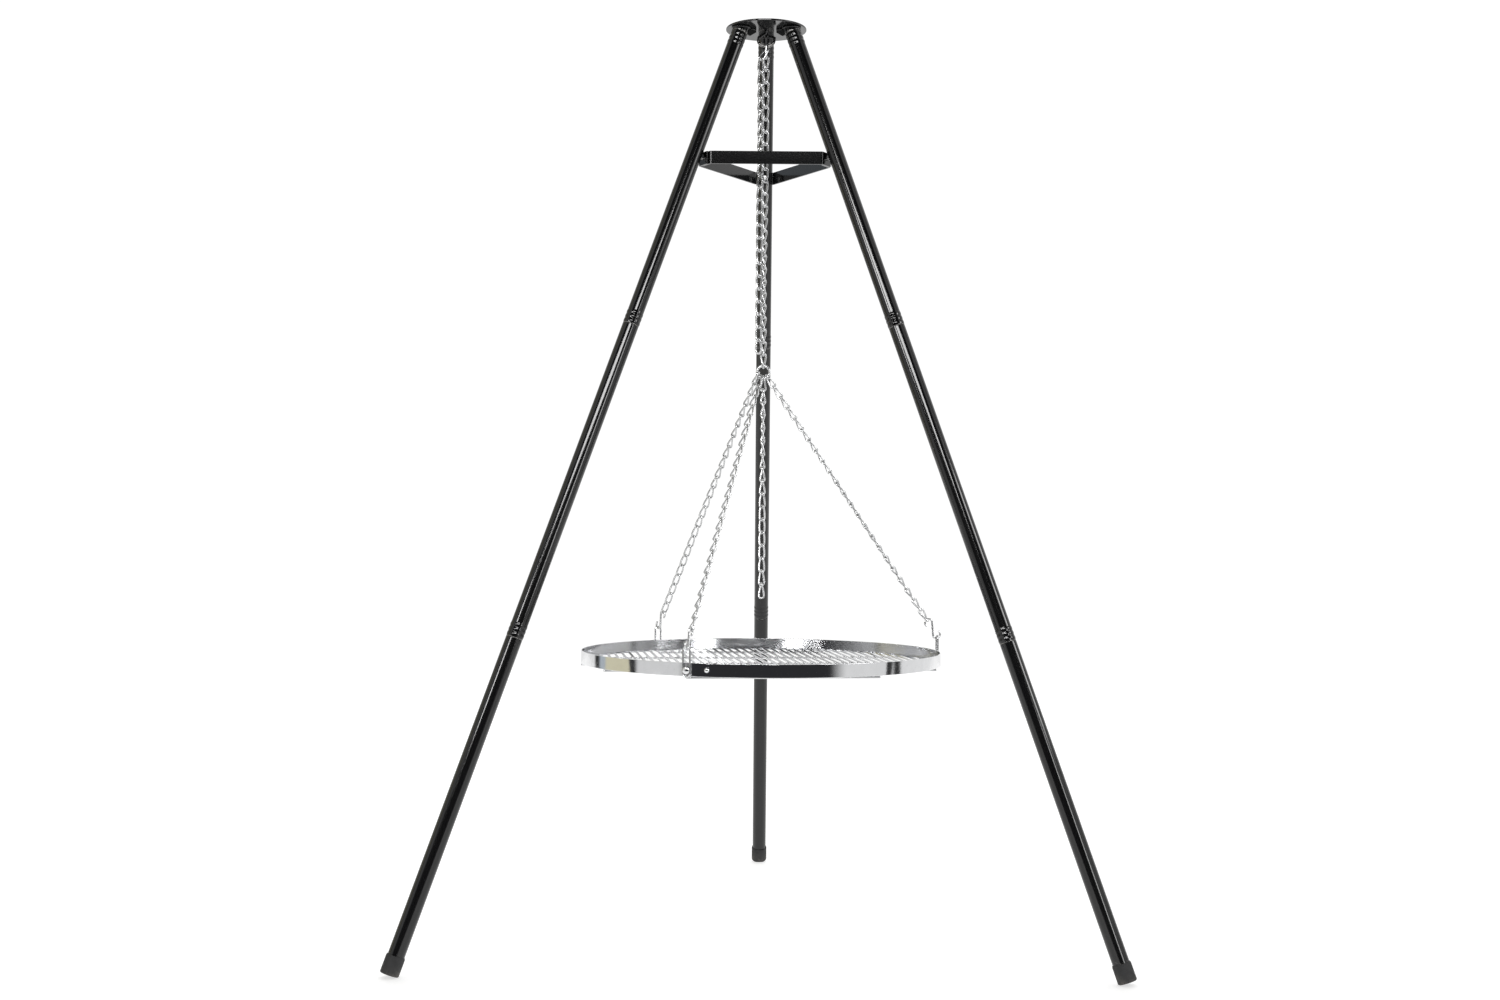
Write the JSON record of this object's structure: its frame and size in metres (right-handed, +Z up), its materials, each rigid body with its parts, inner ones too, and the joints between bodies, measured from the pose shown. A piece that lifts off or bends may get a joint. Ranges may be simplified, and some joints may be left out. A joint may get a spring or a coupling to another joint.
{
  "type": "campfire grill tripod",
  "caption": "Campfire tripod: black sectioned tube legs under a round head plate, braced by flat bar, with a round chromed grill hung on steel chains.",
  "frame": {"origin": "on the ground, below the middle of the box around the three feet; the tripod's own axis is 150.7 mm in front of it, at y = -0.1507", "axes": "+Z up, +Y towards the back leg, +X to the right as seen from the front"},
  "size_m": [1.0732, 0.9332, 1.4409],
  "materials": {
    "black_paint": "gloss black paint on steel tube, plate and flat bar",
    "foot_rubber": "matte dark grey moulded rubber",
    "zinc_steel": "bright zinc-plated chain, ring and S-hooks",
    "chrome": "polished chrome on the grill's band, rods, eyes and rivets",
    "plain_steel": "plain zinc-plated nut and screws"
  },
  "bodies": {
    "stand": {"head_plate": "black_paint", "chain_hook": "black_paint", "hook_nut": "plain_steel", "leg_socket_1": "black_paint", "leg_socket_2": "black_paint", "leg_socket_3": "black_paint", "socket_web_1": "black_paint", "socket_web_2": "black_paint", "socket_web_3": "black_paint", "leg_1_upper": "black_paint", "leg_2_upper": "black_paint", "leg_3_upper": "black_paint", "spreader_bar_1": "black_paint", "spreader_bar_2": "black_paint", "spreader_bar_3": "black_paint", "spreader_screw_1": "plain_steel", "spreader_screw_2": "plain_steel", "spreader_screw_3": "plain_steel"},
    "leg_1_middle_section": {"leg_1_middle": "black_paint"},
    "leg_1_lower_section": {"leg_1_lower": "black_paint", "foot_cap_1": "foot_rubber"},
    "leg_2_middle_section": {"leg_2_middle": "black_paint"},
    "leg_2_lower_section": {"leg_2_lower": "black_paint", "foot_cap_2": "foot_rubber"},
    "leg_3_middle_section": {"leg_3_middle": "black_paint"},
    "leg_3_lower_section": {"leg_3_lower": "black_paint", "foot_cap_3": "foot_rubber"},
    "hanging_link": {"top_link": "zinc_steel"},
    "load_strand": {"load_chain": "zinc_steel"},
    "upper_tail": {"spare_chain_upper": "zinc_steel"},
    "grill": {"joining_ring": "zinc_steel", "hanger_chain_1": "zinc_steel", "hanger_chain_2": "zinc_steel", "hanger_chain_3": "zinc_steel", "s_hook_1": "zinc_steel", "s_hook_2": "zinc_steel", "s_hook_3": "zinc_steel", "grill_rim": "chrome", "grate": "chrome", "seam_rivet": "chrome", "grill_eye_1": "chrome", "grill_eye_2": "chrome", "grill_eye_3": "chrome", "eye_rivet_1": "chrome", "eye_rivet_2": "chrome", "eye_rivet_3": "chrome"},
    "lower_tail": {"spare_chain_lower": "zinc_steel"}
  },
  "joints": [
    {"name": "swing_front_back", "type": "hinge", "parent": "stand", "child": "hanging_link", "pos_m": [0, -0.15071, 1.4058], "axis": [1, 0, 0], "range_deg": [-5, 5]},
    {"name": "swing_sideways", "type": "hinge", "parent": "hanging_link", "child": "load_strand", "pos_m": [0, -0.15071, 1.3869], "axis": [0, 1, 0], "range_deg": [-5, 5]},
    {"name": "upper_tail_swing", "type": "hinge", "parent": "load_strand", "child": "upper_tail", "pos_m": [-0.008, -0.15871, 1.3869], "axis": [0, 1, 0], "range_deg": [0, 8]},
    {"name": "grill_turn", "type": "hinge", "parent": "load_strand", "child": "grill", "pos_m": [0, -0.15071, 0.8999], "axis": [0, 0, 1], "range_deg": [-180, 180]},
    {"name": "lower_tail_swing", "type": "hinge", "parent": "grill", "child": "lower_tail", "pos_m": [0, -0.15071, 0.8777], "axis": [1, 0, 0], "range_deg": [-10, 10]},
    {"name": "leg_1_middle_pull", "type": "slide", "parent": "stand", "child": "leg_1_middle_section", "axis": [0, 0.3649, -0.9311], "range_m": [0, 0.06]},
    {"name": "leg_1_lower_pull", "type": "slide", "parent": "leg_1_middle_section", "child": "leg_1_lower_section", "axis": [0, 0.3649, -0.9311], "range_m": [0, 0.06]},
    {"name": "leg_2_middle_pull", "type": "slide", "parent": "stand", "child": "leg_2_middle_section", "axis": [-0.316, -0.1824, -0.9311], "range_m": [0, 0.06]},
    {"name": "leg_2_lower_pull", "type": "slide", "parent": "leg_2_middle_section", "child": "leg_2_lower_section", "axis": [-0.316, -0.1824, -0.9311], "range_m": [0, 0.06]},
    {"name": "leg_3_middle_pull", "type": "slide", "parent": "stand", "child": "leg_3_middle_section", "axis": [0.316, -0.1824, -0.9311], "range_m": [0, 0.06]},
    {"name": "leg_3_lower_pull", "type": "slide", "parent": "leg_3_middle_section", "child": "leg_3_lower_section", "axis": [0.316, -0.1824, -0.9311], "range_m": [0, 0.06]}
  ]
}
